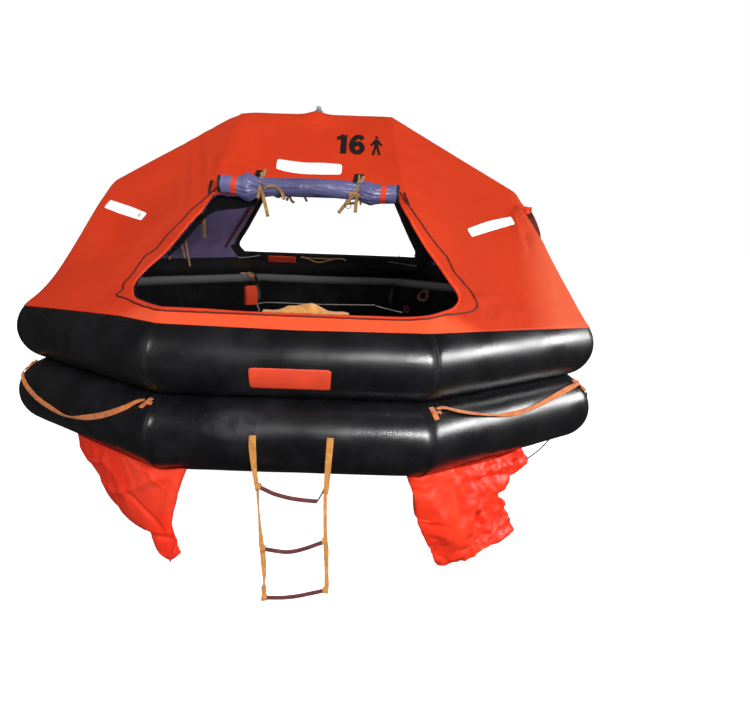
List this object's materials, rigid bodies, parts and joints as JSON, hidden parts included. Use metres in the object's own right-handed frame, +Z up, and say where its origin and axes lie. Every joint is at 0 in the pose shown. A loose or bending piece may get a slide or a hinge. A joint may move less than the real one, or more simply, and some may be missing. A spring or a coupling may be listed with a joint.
{
  "type": "inflatable life raft",
  "caption": "Octagonal inflatable life raft with two stacked buoyancy tubes, a canopy on an arch with front and rear doors, water pockets and a boarding ladder.",
  "frame": {"origin": "middle of the raft in plan, on the waterline, at the joint between the two buoyancy tubes", "axes": "+X to the right seen from the front door, +Y from the front door to the rear door, +Z up"},
  "size_m": [3.5076, 3.5306, 2.6435],
  "materials": {
    "black_rubber": "gloss",
    "floor_black": "satin",
    "canopy_orange": "coated, satin",
    "pocket_red": "coated, satin",
    "lining_lavender": "satin",
    "webbing_orange": "woven",
    "rung_maroon": "woven",
    "plate_red": "satin",
    "bottle_paint": "satin",
    "valve_brass": "satin",
    "lamp_clear": "gloss",
    "lamp_base": "matte"
  },
  "bodies": {
    "root": {"arch_tube": "black_rubber", "ballast_pocket_1": "pocket_red", "ballast_pocket_2": "pocket_red", "ballast_pocket_3": "pocket_red", "ballast_pocket_4": "pocket_red", "boarding_plate_front": "plate_red", "boarding_plate_rear": "plate_red", "canopy_front": "canopy_orange", "canopy_rear": "canopy_orange", "curtain_roll_front": "lining_lavender", "curtain_roll_rear": "lining_lavender", "curtain_tie_front_left": "webbing_orange", "curtain_tie_front_right": "webbing_orange", "curtain_tie_rear_left": "webbing_orange", "curtain_tie_rear_right": "webbing_orange", "cylinder_head": "valve_brass", "cylinder_strap_left": "webbing_orange", "cylinder_strap_right": "webbing_orange", "floor": "floor_black", "gas_cylinder": "bottle_paint", "inside_pouch": "plate_red", "ladder_patch_left": "webbing_orange", "ladder_patch_right": "webbing_orange", "lifeline_1": "webbing_orange", "lifeline_2": "webbing_orange", "lifeline_3": "webbing_orange", "lifeline_4": "webbing_orange", "lifeline_5": "webbing_orange", "lifeline_6": "webbing_orange", "lifeline_patch_1": "webbing_orange", "lifeline_patch_2": "webbing_orange", "lifeline_patch_3": "webbing_orange", "lifeline_patch_4": "webbing_orange", "lifeline_patch_5": "webbing_orange", "lifeline_patch_6": "webbing_orange", "lifeline_patch_7": "webbing_orange", "lifeline_patch_8": "webbing_orange", "light_base": "lamp_base", "light_lamp": "lamp_clear", "lining_front": "lining_lavender", "lining_rear": "lining_lavender", "lookout_sleeve": "canopy_orange", "lower_tube": "black_rubber", "painter_patch": "black_rubber", "righting_strap": "webbing_orange", "upper_tube": "black_rubber"},
    "ladder_top": {"ladder_strap_top_left": "webbing_orange", "ladder_strap_top_right": "webbing_orange", "ladder_rung_1": "rung_maroon"},
    "ladder_middle": {"ladder_strap_middle_left": "webbing_orange", "ladder_strap_middle_right": "webbing_orange", "ladder_rung_2": "rung_maroon"},
    "ladder_low": {"ladder_strap_low_left": "webbing_orange", "ladder_strap_low_right": "webbing_orange", "ladder_rung_3": "rung_maroon"}
  },
  "joints": [
    {"name": "ladder_swing", "type": "hinge", "parent": "root", "child": "ladder_top", "pos_m": [0.02, -1.7573, -0.2], "axis": [-1, 0, 0], "range_deg": [0, 75]},
    {"name": "ladder_fold_middle", "type": "hinge", "parent": "ladder_top", "child": "ladder_middle", "pos_m": [0.02, -1.7573, -0.45], "axis": [-1, 0, 0], "range_deg": [-45, 60]},
    {"name": "ladder_fold_low", "type": "hinge", "parent": "ladder_middle", "child": "ladder_low", "pos_m": [0.02, -1.7573, -0.735], "axis": [-1, 0, 0], "range_deg": [-45, 60]}
  ]
}
